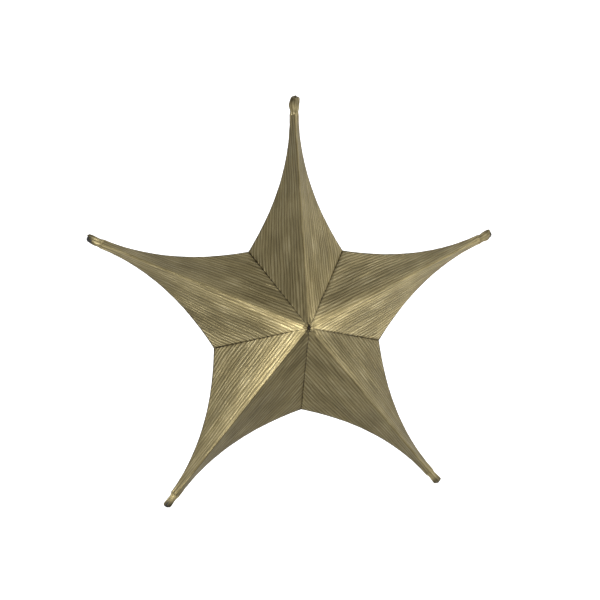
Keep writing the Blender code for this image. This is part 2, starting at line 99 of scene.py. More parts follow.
# Detail
RIDGE_SOFT = 0.0011  # how rounded the cloth is over a rib
APEX_HOLE = 0.0032  # the panels reach in to here, under the knot
CROWN_LIFT = 0.0011
CROWN_COVER = 0.020  # the cloth is lifted inside this radius, over the crown
CIRCLE_FADE = 0.014  # the back's rows follow the rear cap's circle, and are straight this far out from it
SAG = 0.040  # the deepest sag between ridge and edge, as a share of the half panel's width
SAG_REACH = 0.16
GROOVE_DEEP = 0.0007  # beside the seams
GROOVE_WIDE = 0.0016
NARROW = 0.010  # a half panel narrower than this has shallower grooves and dips
ROW_CROWDING = 1.1
COLUMN_CROWDING = 1.3
TINY = 1e-6
HEM_R = 0.0009
HEM_ROUND = 0.006  # cloth round the hem
HEM_INSET = 0.0002
HEM_PAST = 0.001  # past the start of the neck
JUST_PAST = 1e-9  # so that the first row takes the hem's width and not the seam's
THREAD_R = 0.00024
STITCH_LONG = 0.0024
STITCH_PITCH = 0.0036
STITCH_SLOPE = 0.0006
SEAM_DEEP = 0.0006  # the seam's cord below the cloth's edge
DASH_SHAPE = (0.35, 0.85, 1, 1, 0.85, 0.35)
SEED = 7

# Waves in the cloth: height, then length across the arm and along it
PLEAT = 0.0045
PLEATS = (0.00025, PLEAT, 0.110)
FINE_PLEATS = (0.00018, 0.6 * PLEAT, 0.060)
BROAD_WAVES = (0.0009, 0.020, 0.090)
HUB_CREASES = (0.0010, 0.0030, 0.020)
PUCKERS = (0.00060, 0.0055, 0.020)  # along the edge and in from it
TAPE_WAVES = (0.00016, 0.009, 0.012)  # along the tape and across it
HEM_WAVES = (0.00018, 0.006, 1)  # along the hem
HUB_GATHER = 1.5  # how much deeper the pleats are near the hub, and where
HUB_AT = 0.030
HUB_SPREAD = 0.060
HUB_CREASED_AT = 0.014
HUB_CREASED_SPREAD = 0.020
CREASE_FADE = 0.002
PUCKER_REACH = 0.006
BACK_RELIEF = 0.6  # the back's waves, as a share of the front's
RIDGE_HELD = 0.0025  # the cloth can't wave this near a ridge
RIDGE_FADE = 0.006
EDGE_FADE = 0.004
EDGE_FREE = 0.15
CREASE_DEEP = 0.0012
CREASE_WIDE = 0.006
CREASE_LONG = 0.070
CREASE_SLANT = 0.090
CREASE_FROM = 0.45
DIP_DEEP = 0.0004  # beside a ridge
DIP_AT = 0.0042
DIP_WIDE = 0.0014


def hub_centre():
    """The point on the shaft half way between the rear cap's face and the front button's crown."""
    button, cap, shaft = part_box("front_button"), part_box("rear_cap"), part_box("shaft")
    return Vector(
        ((shaft[0][0] + shaft[1][0]) / 2, (button[0][1] + cap[1][1]) / 2, (shaft[0][2] + shaft[1][2]) / 2)
    )


CENTRE = hub_centre()
HINGE = Vector(JOINTS["rib_hinge_top"]["pos_m"]) - CENTRE
HINGE_HEIGHT = HINGE.dot(FRONT)
HINGE_RADIUS = (HINGE - FRONT * HINGE_HEIGHT).length
CAP_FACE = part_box("rear_cap")[1][1] - CENTRE.y - REAR_CAP_THICK


def arm_axes(arm):
    """An arm's x, y and z axes, from the axis that its rib turns about."""
    across = Vector(JOINTS[f"rib_hinge_{arm}"]["axis"]).normalized()
    return across.cross(FRONT), across, FRONT


def to_world(arm, points):
    """Points in an arm's frame, as an array of (out, across, height), in the row frame."""
    axes = np.array([list(axis) for axis in arm_axes(arm)])
    return np.asarray(points) @ axes + np.array(CENTRE)


def half_gap(arm, side):
    """Half of the angle to the next arm on that side."""
    out, across, _ = arm_axes(arm)
    angles = []
    for other in ARMS:
        if other != arm:
            direction = arm_axes(other)[0]
            angle = math.atan2(direction.dot(across), direction.dot(out)) * side
            if angle > 0:
                angles.append(angle)
    return min(angles) / 2


# Noise

LATTICE = 64


def lattice(seed):
    """Random values from -1 to 1, the same ones for a seed each time."""
    return np.random.RandomState(seed).uniform(-1, 1, (LATTICE, LATTICE))


def noise(x, y, seed):
    """Smooth noise from -1 to 1 that repeats at the lattice's size."""
    grid = lattice(seed)
    x, y = np.broadcast_arrays(np.asarray(x, float), np.asarray(y, float))
    x0, y0 = np.floor(x).astype(int), np.floor(y).astype(int)
    fx, fy = x - x0, y - y0
    fx, fy = fx * fx * (3 - 2 * fx), fy * fy * (3 - 2 * fy)
    value = 0
    for i, wx in ((0, 1 - fx), (1, fx)):
        for j, wy in ((0, 1 - fy), (1, fy)):
            value = value + grid[(x0 + i) % LATTICE, (y0 + j) % LATTICE] * wx * wy
    return value


def bump(x, centre, width):
    """1 at the centre, fading to 0 a few widths from it."""
    return np.exp(-(((x - centre) / width) ** 2))


# Shape of the cover


def rib_height(r):
    """The height of a rib's centreline."""
    return HINGE_HEIGHT - (r - HINGE_RADIUS) * math.tan(RIB_TILT)


def ridge_height(r, back):
    """The height of a panel's ridge: over the rib in front, and from the rear cap to the neck behind."""
    if not back:
        return rib_height(r) + RIDGE_OFFSET / math.cos(RIB_TILT)
    neck = ridge_height(PANEL_END, False)
    start = CAP_FACE - CLOTH
    return start + (neck - start) * (r - APEX_RING) / (PANEL_END - APEX_RING)


def edge_line(r, gap, back):
    """Half width and height of a panel's edge: the seam to the next arm, then the cover's outline."""
    corner_out, corner_half = CORNER_RADIUS * math.cos(gap), CORNER_RADIUS * math.sin(gap)
    top = ridge_height(APEX_RING, back)
    out = (r / math.cos(gap) - APEX_RING) / (CORNER_RADIUS - APEX_RING)
    seam_half = r * math.tan(gap) - SEAM_GAP / math.cos(gap)
    seam_height = np.where(out > 0, top + (EDGE_HEIGHT - top) * out, ridge_height(r / math.cos(gap), back))
    left = np.clip((NECK_START - r) / (NECK_START - corner_out), 0, 1)
    hem_half = NECK_HALF + (corner_half - SEAM_GAP - NECK_HALF) * left**2
    inside = r <= corner_out
    return np.where(inside, seam_half, hem_half), np.where(inside, seam_height, EDGE_HEIGHT)


def rows_along(gap, piece, back, count):
    """Distances along an arm, closer together near its corner."""
    corner = CORNER_RADIUS * math.cos(gap)
    first = APEX_RING if back else APEX_HOLE
    steps = np.linspace(0, 1, count + 1)
    if piece == "inner":
        return first + (corner - first) * steps
    if piece == "outer":
        return corner + (PANEL_END - corner) * steps**ROW_CROWDING
    share = (corner - first) / (PANEL_END - first)
    inner_count = int(round(count * share))
    inner = first + (corner - first) * np.linspace(0, 1, inner_count + 1)
    outer = corner + (PANEL_END - corner) * np.linspace(0, 1, count - inner_count + 1) ** ROW_CROWDING
    return np.concatenate([inner, outer[1:]])


def smooth(x):
    """From 0 to 1 as x does, with no corner at either end."""
    x = np.clip(x, 0, 1)
    return x * x * (3 - 2 * x)


def waves(kind, x, y, seed):
    """Noise with a height and a length in each direction."""
    height, x_long, y_long = kind
    return height * noise(x / x_long, y / y_long, seed)


def zip_cover(arm, side, back, r, d, width, drop):
    """1 where the cloth lies flat under the zip's tape, 0 elsewhere."""
    if not (back and side > 0 and arm == ZIP_ARM):
        return 0.0
    slant = d * np.sqrt(1 + (drop / width) ** 2)
    beside = smooth((2.4 * TAPE_HALF - np.abs(slant - ZIP_ASIDE - RIDGE_HALF)) / TAPE_HALF)
    before = smooth((r - ZIP_START + ZIP_CLEAR) / ZIP_FADE)
    after = smooth((ZIP_END + ZIP_CLEAR - r) / ZIP_FADE)
    return beside * before * after


def relief(r, d, width, back, seed):
    """How far the cloth stands off its plain shape: pleats along the ridge, creases, puckers at the edge."""
    strength = BACK_RELIEF if back else 1.0
    near_hub = 1 + HUB_GATHER * bump(r, HUB_AT, HUB_SPREAD)
    free = np.clip((d - RIDGE_HELD) / RIDGE_FADE, 0, 1) * np.clip((width - d) / EDGE_FADE, EDGE_FREE, 1)
    pleats = waves(PLEATS, d, r, seed) + waves(FINE_PLEATS, d, r, seed + 1)
    broad = waves(BROAD_WAVES, d, r, seed + 2)
    creased = noise(d / CREASE_WIDE + r / CREASE_SLANT, r / CREASE_LONG, seed + 3)
    creases = -CREASE_DEEP * np.clip(creased - CREASE_FROM, 0, 1)
    lift = (pleats * near_hub + broad + creases * near_hub) * free * strength
    beside_ridge = -DIP_DEEP * bump(d, DIP_AT, DIP_WIDE) * np.clip(width / NARROW, 0, 1)
    from_edge = width - d
    pucker = waves(PUCKERS, r, from_edge, seed + 4) * np.exp(-from_edge / PUCKER_REACH)
    pucker = pucker * np.clip(width / 0.012 - 0.6, 0, 1)
    return lift + beside_ridge + pucker * strength


def over_crown(out):
    """How far the crown lifts the front cloth, at a distance from the shaft."""
    return CROWN_LIFT * smooth((CROWN_COVER - out) / (0.5 * CROWN_COVER))


def clear_of_crown(out):
    """How free the cloth is to stand off its plain shape, at a distance from the shaft."""
    return 0.15 + 0.85 * np.clip((out - 0.6 * CROWN_COVER) / CROWN_COVER, 0, 1)


def hub_creases(out, r, d, width, seed):
    """Short creases where the front cloth is drawn in towards the knot."""
    creased = np.abs(waves(HUB_CREASES, d, r, seed)) * bump(out, HUB_CREASED_AT, HUB_CREASED_SPREAD)
    return creased * np.clip((width - d) / CREASE_FADE, 0, 1) * np.clip(d / CREASE_FADE, 0, 1)


def panel_net(gap, back, piece, rows, columns):
    """Distances along the arm and across it of a half panel's points, and their shares of its width."""
    r = rows_along(gap, piece, back, rows)[:, None]
    share = np.linspace(0, 1, columns + 1)[None, :] ** COLUMN_CROWDING
    d = share * edge_line(r, gap, back)[0]
    if back:
        to_circle = (1 - r / np.hypot(r, d)) * smooth((APEX_RING + CIRCLE_FADE - r) / CIRCLE_FADE)
        r, d = r * (1 - to_circle), d * (1 - to_circle)
    return r, d, share


def cloth_grid(arm, side, back, piece, rows, columns, seed):
    """Points and (along, across) coordinates of one side of a panel, from its ridge to its edge."""
    gap = half_gap(arm, side)
    r, d, share = panel_net(gap, back, piece, rows, columns)
    width, low = edge_line(r, gap, back)
    top = ridge_height(r, back)
    soft = RIDGE_SOFT
    fall = (np.sqrt(d**2 + soft**2) - soft) / (np.sqrt(width**2 + soft**2) - soft)
    corner = CORNER_RADIUS * math.cos(gap)
    sag = SAG * width * 4 * share * (1 - share) * np.clip(1.25 - np.abs(r - corner) / SAG_REACH, 0.2, 1)
    seam = np.clip((corner - r) / 0.01 + 1, 0, 1)
    groove = GROOVE_DEEP * bump(width - d, 0, GROOVE_WIDE) * seam * np.clip(width / NARROW, 0, 1)
    out = np.hypot(r, d)
    under_zip = zip_cover(arm, side, back, r, d, width, top - low)
    held = relief(r, d, width, back, seed) - sag - groove
    height = top - (top - low) * fall + held * clear_of_crown(out) * (1 - under_zip)
    if not back:
        height = height + over_crown(out) + hub_creases(out, r, d, width, seed + 5)
    points = np.stack(np.broadcast_arrays(r, d * side, -height if back else height), axis=-1)
    slant = np.sqrt(width**2 + (top - low) ** 2) / np.maximum(width, TINY)
    texture = np.stack(np.broadcast_arrays(r / math.cos(RIB_TILT), d * slant), axis=-1)
    return points, texture


def grid_faces(rows, columns, flip=False, closed=False):
    """Quads of a grid of rows + 1 by columns + 1 points, or of columns points where each row is a ring."""
    width = columns if closed else columns + 1
    i, j = np.meshgrid(np.arange(rows), np.arange(columns), indexing="ij")
    here, beside = i * width + j, i * width + (j + 1) % width
    faces = np.stack([here, beside, beside + width, here + width], axis=-1).reshape(-1, 4)
    return faces[:, ::-1] if flip else faces


def mesh_piece(name, points, faces, finish, texture=None, smooth=True, tone_with_painted_light=1.0):
    """A named mesh object with its material and, where given, its cloth coordinates as a UV map."""
    mesh = bpy.data.meshes.new(name)
    mesh.from_pydata(np.asarray(points).reshape(-1, 3).tolist(), [], [list(map(int, f)) for f in faces])
    if texture is not None:
        layer = mesh.uv_layers.new(name="cloth")
        index = np.zeros(len(mesh.loops), dtype=np.int32)
        mesh.loops.foreach_get("vertex_index", index)
        layer.data.foreach_set("uv", np.asarray(texture).reshape(-1, 2)[index].ravel())
        # The tone, which holds painted light and shade, as a point attribute
        values = np.broadcast_to(tone_with_painted_light, np.asarray(points).shape[:-1]).astype(np.float32)
        mesh.attributes.new("tone_with_painted_light", "FLOAT", "POINT").data.foreach_set("value", values.ravel())
    mesh.polygons.foreach_set("use_smooth", [smooth] * len(mesh.polygons))
    mesh.materials.append(finish)
    mesh.update()
    made = bpy.data.objects.new(name, mesh)
    bpy.context.scene.collection.objects.link(made)
    return made


def tube(path, radius, sides, reference=(0, 0, 1), flat=1.0):
    """Rings of points round a path. reference is roughly square to it, and flat squeezes along reference."""
    path = np.asarray(path, float)
    along = np.gradient(path, axis=0)
    along /= np.linalg.norm(along, axis=1)[:, None]
    beside = np.cross(along, np.asarray(reference, float))
    beside /= np.linalg.norm(beside, axis=1)[:, None]
    over = np.cross(beside, along)
    angles = np.linspace(0, 2 * math.pi, sides, endpoint=False)
    radius = np.broadcast_to(radius, len(path))[:, None, None]
    around = beside[:, None] * np.cos(angles)[None, :, None]
    around = around + over[:, None] * np.sin(angles)[None, :, None] * flat
    return path[:, None] + around * radius


def capped_faces(rows, sides, first=0):
    """Faces of a tube of rings, closed at both ends, for points that start at index first."""
    faces = [list(map(int, f)) for f in grid_faces(rows, sides, closed=True) + first]
    faces.append([first + i for i in reversed(range(sides))])
    faces.append([first + rows * sides + i for i in range(sides)])
    return faces


def thicken(made, thickness):
    """Gives a sheet of cloth its thickness, behind its face."""
    wall = made.modifiers.new("cloth", "SOLIDIFY")
    wall.thickness, wall.offset = thickness, -1


def dashes(path, long, pitch, radius, reference, slope=0.0, sides=7):
    """Points and faces of a row of short stitches along a path, each a rounded dash."""
    path = np.asarray(path, float)
    steps = np.linalg.norm(np.diff(path, axis=0), axis=1)
    place = np.concatenate([[0], np.cumsum(steps)])
    rings = len(DASH_SHAPE)
    points, faces = [], []
    for start in np.arange(pitch / 2, place[-1] - long, pitch):
        at = np.linspace(start, start + long, rings)
        line = np.stack([np.interp(at, place, path[:, k]) for k in range(3)], axis=1)
        line += np.outer(np.sin(np.linspace(0, math.pi, rings)) * radius * 0.9, reference)
        sideways = np.cross(line[-1] - line[0], reference)
        sideways /= np.linalg.norm(sideways)
        line += np.outer(np.linspace(-slope, slope, rings), sideways)
        grid = tube(line, radius * np.array(DASH_SHAPE), sides, reference)
        faces += capped_faces(rings - 1, sides, len(points) * rings * sides)
        points.append(grid.reshape(-1, 3))
    return np.concatenate(points), faces


# Materials


class Nodes:
    """A material's node tree, with short calls for making and linking its nodes."""

    def __init__(self, name):
        self.material = bpy.data.materials.new(name)
        self.material.use_nodes = True
        self.tree = self.material.node_tree
        self.shader = self.tree.nodes["Principled BSDF"]

    def add(self, kind, **values):
        made = self.tree.nodes.new(kind)
        for key, value in values.items():
            if hasattr(made, key):
                setattr(made, key, value)
            else:
                made.inputs[key.replace("_", " ")].default_value = value
        return made

    def link(self, start, end):
        self.tree.links.new(start, end)

    def math(self, operation, first, second=None, clamp=False):
        made = self.add("ShaderNodeMath", operation=operation, use_clamp=clamp)
        for socket, value in zip(made.inputs, (first, second)):
            if value is None:
                continue
            if isinstance(value, (int, float)):
                socket.default_value = value
            else:
                self.link(value, socket)
        return made.outputs[0]

    def stretched(self, source, scale):
        made = self.add("ShaderNodeMapping")
        made.inputs["Scale"].default_value = scale
        self.link(source, made.inputs["Vector"])
        return made.outputs[0]

    def noise(self, vector, scale, detail=2.0, rough=0.5):
        made = self.add("ShaderNodeTexNoise")
        made.inputs["Scale"].default_value = scale
        made.inputs["Detail"].default_value = detail
        made.inputs["Roughness"].default_value = rough
        self.link(vector, made.inputs["Vector"])
        return made.outputs["Fac"]

    def ramp(self, value, stops):
        made = self.add("ShaderNodeValToRGB")
        made.color_ramp.elements[0].position, made.color_ramp.elements[1].position = stops[0][0], stops[-1][0]
        made.color_ramp.elements[0].color = (*stops[0][1], 1)
        made.color_ramp.elements[1].color = (*stops[-1][1], 1)
        for position, colour in stops[1:-1]:
            made.color_ramp.elements.new(position).color = (*colour, 1)
        self.link(value, made.inputs["Fac"])
        return made.outputs["Color"]

    def span(self, value, low, high):
        """The value, from 0 to 1, spread from low to high."""
        made = self.add("ShaderNodeMapRange")
        made.inputs["To Min"].default_value = low
        made.inputs["To Max"].default_value = high
        self.link(value, made.inputs["Value"])
        return made.outputs[0]

    def bump(self, height, distance, strength=1.0, under=None):
        made = self.add("ShaderNodeBump")
        made.inputs["Distance"].default_value = distance
        made.inputs["Strength"].default_value = strength
        self.link(height, made.inputs["Height"])
        if under is not None:
            self.link(under, made.inputs["Normal"])
        return made.outputs[0]


LAME_DARK = (0.13, 0.101, 0.045)
LAME_MID = (0.37, 0.306, 0.155)
LAME_BRIGHT = (0.74, 0.655, 0.42)
LINE_PITCH = 0.0048
HERRING_PITCH = 0.0013
HERRING_SLANT = 1.4
# How closely each pattern in the weave repeats, along the arm and across it
WARP_SCALE = (16, 90, 1)
STREAK_SCALE = (18, 620, 1)
WEFT_SCALE = (1500, 420, 1)
BLOTCH_SCALE = (20, 60, 1)
THREAD = (0.035, 0.024, 0.012)


def lame_cloth(name, painted_shade_scale=1.0):
    """Woven metallic cloth: dark lines near the ridge's direction, and a herringbone and streaks between."""
    n = Nodes(name)
    uv = n.add("ShaderNodeUVMap", uv_map="cloth").outputs[0]
    place = n.add("ShaderNodeSeparateXYZ")
    n.link(uv, place.inputs[0])
    warp = n.math("MULTIPLY", n.noise(n.stretched(uv, WARP_SCALE), 1.0, 2.0, 0.5), LINE_PITCH * 1.5)
    across = n.math("ADD", place.outputs[1], warp)
    from_line = n.math("PINGPONG", across, LINE_PITCH / 2)
    line = n.math("MULTIPLY", from_line, 2.8 / LINE_PITCH, clamp=True)
    twice = n.math("PINGPONG", across, LINE_PITCH)
    slant = n.math("ADD", n.math("MULTIPLY", place.outputs[0], HERRING_SLANT), twice)
    herring = n.math("SINE", n.math("MULTIPLY", slant, 2 * math.pi / HERRING_PITCH))
    herring = n.span(n.math("ADD", n.math("MULTIPLY", herring, 0.5), 0.5), 0.30, 0.70)
    streaks = n.noise(n.stretched(uv, STREAK_SCALE), 1.0, 3.0, 0.65)
    weft = n.noise(n.stretched(uv, WEFT_SCALE), 1.0, 2.0, 0.6)
    blotch = n.noise(n.stretched(uv, BLOTCH_SCALE), 1.0, 3.0, 0.6)
    mixed = n.math("MULTIPLY", streaks, 0.34)
    for pattern, share in ((weft, 0.14), (blotch, 0.26), (herring, 0.14), (line, 0.12)):
        mixed = n.math("ADD", mixed, n.math("MULTIPLY", pattern, share))
    stops = [(0.34, LAME_DARK), (0.55, LAME_MID), (0.74, LAME_BRIGHT)]
    # The colours are scaled down for painted shade where the cloth is drawn darker, as on the hem
    stops = [(position, tuple(c * painted_shade_scale for c in colour)) for position, colour in stops]
    # The cloth's colour is scaled by each mesh's tone, which holds painted light and shade
    colour_with_painted_light = n.add("ShaderNodeVectorMath", operation="SCALE")
    n.link(n.ramp(mixed, stops), colour_with_painted_light.inputs[0])
    n.link(n.add("ShaderNodeAttribute", attribute_name="tone_with_painted_light").outputs["Fac"], colour_with_painted_light.inputs["Scale"])
    n.link(colour_with_painted_light.outputs[0], n.shader.inputs["Base Color"])
    n.shader.inputs["Metallic"].default_value = 0.9
    n.link(n.span(mixed, 0.50, 0.28), n.shader.inputs["Roughness"])
    lines = n.bump(line, 0.0006, 0.7)
    streaked = n.bump(streaks, 0.0012, 0.6, lines)
    n.link(n.bump(n.math("ADD", herring, weft), 0.00012, 0.5, streaked), n.shader.inputs["Normal"])
    return n.material


def thread(name, colour):
    """Twisted sewing thread."""
    n = Nodes(name)
    place = n.add("ShaderNodeTexCoord").outputs["Object"]
    fibres = n.noise(place, 2600, 2.0)
    dark, light = tuple(c * 0.6 for c in colour), tuple(c * 1.7 for c in colour)
    n.link(n.ramp(fibres, [(0.3, dark), (0.7, light)]), n.shader.inputs["Base Color"])
    n.shader.inputs["Roughness"].default_value = 0.75
    n.link(n.bump(fibres, 0.0002, 0.6), n.shader.inputs["Normal"])
    return n.material


def metal(name, dark, light, roughness, scratch=700):
    """Drawn or rolled metal with fine scratches and a little tarnish."""
    n = Nodes(name)
    place = n.add("ShaderNodeTexCoord").outputs["Object"]
    grain = n.noise(n.stretched(place, (1, 1, 0.25)), scratch, 4.0, 0.6)
    cloud = n.noise(place, 45, 3.0)
    mixed = n.math("ADD", n.math("MULTIPLY", grain, 0.5), n.math("MULTIPLY", cloud, 0.5))
    n.link(n.ramp(mixed, [(0.3, dark), (0.7, light)]), n.shader.inputs["Base Color"])
    n.shader.inputs["Metallic"].default_value = 1.0
    n.link(n.span(cloud, roughness - 0.08, roughness + 0.12), n.shader.inputs["Roughness"])
    n.link(n.bump(grain, 0.00005, 0.5), n.shader.inputs["Normal"])
    return n.material


def moulded(name, colour, roughness):
    """Moulded plastic with a fine spark-eroded grain."""
    n = Nodes(name)
    place = n.add("ShaderNodeTexCoord").outputs["Object"]
    grain = n.noise(place, 1400, 3.0)
    cloud = n.noise(place, 60, 2.0)
    dark, light = tuple(c * 0.8 for c in colour), tuple(c * 1.25 for c in colour)
    n.link(n.ramp(cloud, [(0.3, dark), (0.7, light)]), n.shader.inputs["Base Color"])
    n.link(n.span(grain, roughness - 0.06, roughness + 0.1), n.shader.inputs["Roughness"])
    n.link(n.bump(grain, 0.00008, 0.4), n.shader.inputs["Normal"])
    return n.material


LAME = lame_cloth("lame_cloth")
# The hem is the same cloth at 0.42 of its brightness: painted shade along the outline
SHADED_HEM = lame_cloth("shaded_hem_cloth", 0.42)
SEAM_THREAD = thread("seam_thread", THREAD)
STEEL = metal("steel_wire", (0.34, 0.34, 0.35), (0.62, 0.62, 0.63), 0.32)
BRASS = metal("brass", (0.30, 0.20, 0.075), (0.56, 0.41, 0.18), 0.34)
PLASTIC = moulded("black_plastic", (0.018, 0.017, 0.016), 0.45)
TAPE = thread("zip_tape_cloth", (0.10, 0.08, 0.04))

# Squash: how narrow each side of a panel gets, and along what line


def squash_side(arm, side, back):
    """(axis, anchor, keep) that narrows one side of a panel towards its ridge as the star folds."""
    gap = half_gap(arm, side)
    corner_out, corner_half = CORNER_RADIUS * math.cos(gap), CORNER_RADIUS * math.sin(gap)
    flip = -1 if back else 1
    start = np.array([APEX_RING, 0, flip * ridge_height(APEX_RING, back)])
    end = np.array([PANEL_END, 0, flip * ridge_height(PANEL_END, back)])
    corner = np.array([corner_out, corner_half * side, flip * EDGE_HEIGHT])
    ridge = (end - start) / np.linalg.norm(end - start)
    reach = corner - start
    inward = reach - ridge * reach.dot(ridge)
    width = np.linalg.norm(inward)
    axis = inward / width
    drop = abs(axis[2]) * width
    across = abs(axis[1]) * width
    base = BACK_FOLDED_BASE if back else FOLDED_BASE
    keep = math.tan(gap) * base / (across + drop * math.tan(gap))
    world_axis = to_world(arm, [axis])[0] - np.array(CENTRE)
    return world_axis.tolist(), to_world(arm, [start])[0].tolist(), keep


def body_of(arm, back, piece):
    return f"back_{piece}_{arm}" if back else f"rib_{arm}"


def fold_with(piece_object, arm, side, back, piece):
    """The object rides on the panel's body."""
    axis, anchor, keep = squash_side(arm, side, back)
    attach(piece_object, body_of(arm, back, piece))
    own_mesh(piece_object)


def side_name(side):
    return "a" if side > 0 else "b"


# Each piece of a panel: whether it is in the back, its name, and its rows and columns
PIECES = ((False, "whole", 130, 52), (True, "outer", 76, 40), (True, "inner", 40, 40))
NODE_OF = {"whole": "front_panel", "outer": "back_panel_outer", "inner": "back_panel_inner"}

# Painted light on each front half panel, by its arm and side, standing in for the metal thread's sheen, which
# lies
# another way on each: its painted lit or shaded tone away from the ridge, the painted highlight beside the
# ridge, and how far in metres that highlight spreads across the half panel and out along it.
HALF_PANEL_PAINTED_LIGHT = {
    ("top", 1): (0.78, 0.05, 0.010, 0.30),
    ("top", -1): (0.98, 0.18, 0.012, 0.30),
    ("right", 1): (0.78, 0.95, 0.009, 0.12),
    ("right", -1): (0.98, 1.00, 0.022, 0.09),
    ("lower_right", 1): (0.84, 0.38, 0.012, 0.30),
    ("lower_right", -1): (0.82, 0.05, 0.010, 0.30),
    ("lower_left", 1): (0.82, 0.0, 0.010, 0.30),
    ("lower_left", -1): (0.92, 1.20, 0.030, 0.16),
    ("left", 1): (0.80, 1.25, 0.022, 0.09),
    ("left", -1): (0.88, 0.40, 0.006, 0.20),
}


def painted_light_tone(arm, side, texture, seed):
    """The tone of each point of a front half panel, with painted light and shade and a painted highlight by
    the ridge.
    """
    base, ridge, spread, reach = HALF_PANEL_PAINTED_LIGHT[arm, side]
    along, across = texture[..., 0], texture[..., 1]
    uneven = 1 + 0.16 * noise(along / 0.030, across / 0.012, seed + 8)
    streaks = 1 + 0.22 * noise(along / 0.060, across / 0.0022, seed + 9)
    hub = np.exp(-((np.hypot(along, across) / 0.034) ** 2))
    # Painted light and shade of crumpled cloth near the hub
    crumple_light_and_shade = 1 + 0.55 * hub * noise(along / 0.011, across / 0.0024, seed + 10)
    # Painted highlight: a streaky strip beside the ridge that fades out along the arm
    fading = 0.3 + 0.7 * np.exp(-((along / reach) ** 2))
    painted_highlight_strip = ridge * np.exp(-((across / spread) ** 2)) * fading
    return (base * uneven + painted_highlight_strip * streaks) * crumple_light_and_shade


def make_panels():
    """The cover's cloth: each panel in two halves that meet on its ridge."""
    for number, arm in enumerate(ARMS):
        for back, piece, rows, columns in PIECES:
            for side in (1, -1):
                seed = SEED + 44 * number + 22 * back + 11 * (side > 0)
                points, texture = cloth_grid(arm, side, back, piece, rows, columns, seed)
                world = to_world(arm, points)
                faces = grid_faces(rows, columns, (side > 0) == back)
                name = f"{'back' if back else 'front'}_cloth_{piece}_{arm}_{side_name(side)}"
                tone_with_painted_light = 1.0 if back else painted_light_tone(arm, side, texture, seed)
                made = mesh_piece(name, world, faces, LAME, texture, tone_with_painted_light=tone_with_painted_light)
                thicken(made, CLOTH)
                fold_with(made, arm, side, back, piece)
                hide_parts(f"{NODE_OF[piece]}_{arm}")


def seam_line(arm, back):
    """Points along the seam on an arm's positive side, from the hub to the corner, in the arm's frame."""
    gap = half_gap(arm, 1)
    first = APEX_RING + 0.0012 if back else 1.6 * APEX_HOLE
    out = np.linspace(first, CORNER_RADIUS, 60)
    r = out * math.cos(gap)
    height = edge_line(r, gap, back)[1] - SEAM_DEEP * clear_of_crown(out)
    if not back:
        height = height + over_crown(out)
    return np.stack([r, r * math.tan(gap), -height if back else height], axis=1)


def make_seams():
    """A sewn seam in each valley, front and back: a cord of thread with slanted stitches over it."""
    sides = 8
    for arm in ARMS:
        for back, piece in ((False, "whole"), (True, "inner")):
            line = seam_line(arm, back)
            up = (0, 0, -1.0 if back else 1.0)
            cord = tube(line, 0.8 * THREAD_R, sides, up).reshape(-1, 3)
            stitches, faces = dashes(line, STITCH_LONG, STITCH_PITCH, THREAD_R, up, STITCH_SLOPE)
            faces = capped_faces(len(line) - 1, sides) + [[i + len(cord) for i in f] for f in faces]
            name = f"seam_{'back' if back else 'front'}_{arm}"
            made = mesh_piece(name, to_world(arm, np.concatenate([cord, stitches])), faces, SEAM_THREAD)
            fold_with(made, arm, 1, back, piece)


def make_hems():
    """The rolled hem along each side of each arm, where the front and the back meet."""
    rows, sides = 120, 12
    for arm in ARMS:
        for side in (1, -1):
            gap = half_gap(arm, side)
            r = np.linspace(CORNER_RADIUS * math.cos(gap), NECK_START + HEM_PAST, rows)
            half = edge_line(r + JUST_PAST, gap, False)[0]
            wave = waves(HEM_WAVES, r, 0.3, SEED + side)
            line = np.stack([r, side * (half - HEM_INSET + wave), 0 * r], axis=1)
            grid = tube(line, HEM_R, sides, (0, 0, 1), (EDGE_HEIGHT + CLOTH) / HEM_R)
            round_it = np.linspace(0, HEM_ROUND, sides)[None]
            texture = np.stack(np.broadcast_arrays(r[:, None], round_it), axis=-1)
            world = to_world(arm, grid.reshape(-1, 3))
            faces = capped_faces(rows - 1, sides)
            made = mesh_piece(f"hem_{arm}_{side_name(side)}", world, faces, SHADED_HEM, texture)
            fold_with(made, arm, side, False, "whole")


# Each arm's cloth end, by distance from the shaft: half widths of the neck and of the flare, where the flare
# and the tip are, the half width at the tip, how far and on which side (in degrees) the mouth is cut back,
# how far sideways the tip leans, and how much of the mouth is drawn shut.
ENDS = {
    "top": (0.0059, 0.0074, 0.3175, 0.3325, 0.0022, 0.0040, 90, -0.0034, 0.9),
    "right": (0.0058, 0.0067, 0.3150, 0.3262, 0.0028, 0.0050, 180, 0.0026, 0.45),
    "lower_right": (0.0050, 0.0061, 0.3205, 0.3256, 0.0034, 0.0012, 180, 0.0006, 0.45),
    "lower_left": (0.0051, 0.0055, 0.3195, 0.3254, 0.0036, 0.0010, 0, -0.0004, 0.35),
    "left": (0.0057, 0.0060, 0.3110, 0.3262, 0.0026, 0.0060, 0, -0.0016, 0.35),
}
SLEEVE_START = 0.2995
THROAT_START = 0.2950  # inside the panels, where the end is gathered on to the rib
THROAT_R = 0.0020
THROAT_ROWS = 6
NECK_AT = 0.3075
SECTION_HALF = 0.0079  # the panels' own section, where an end starts
SECTION_R = 0.0065
FOLDS = 9
FOLD_DEEP = 0.00042
RAGGED = 0.0005


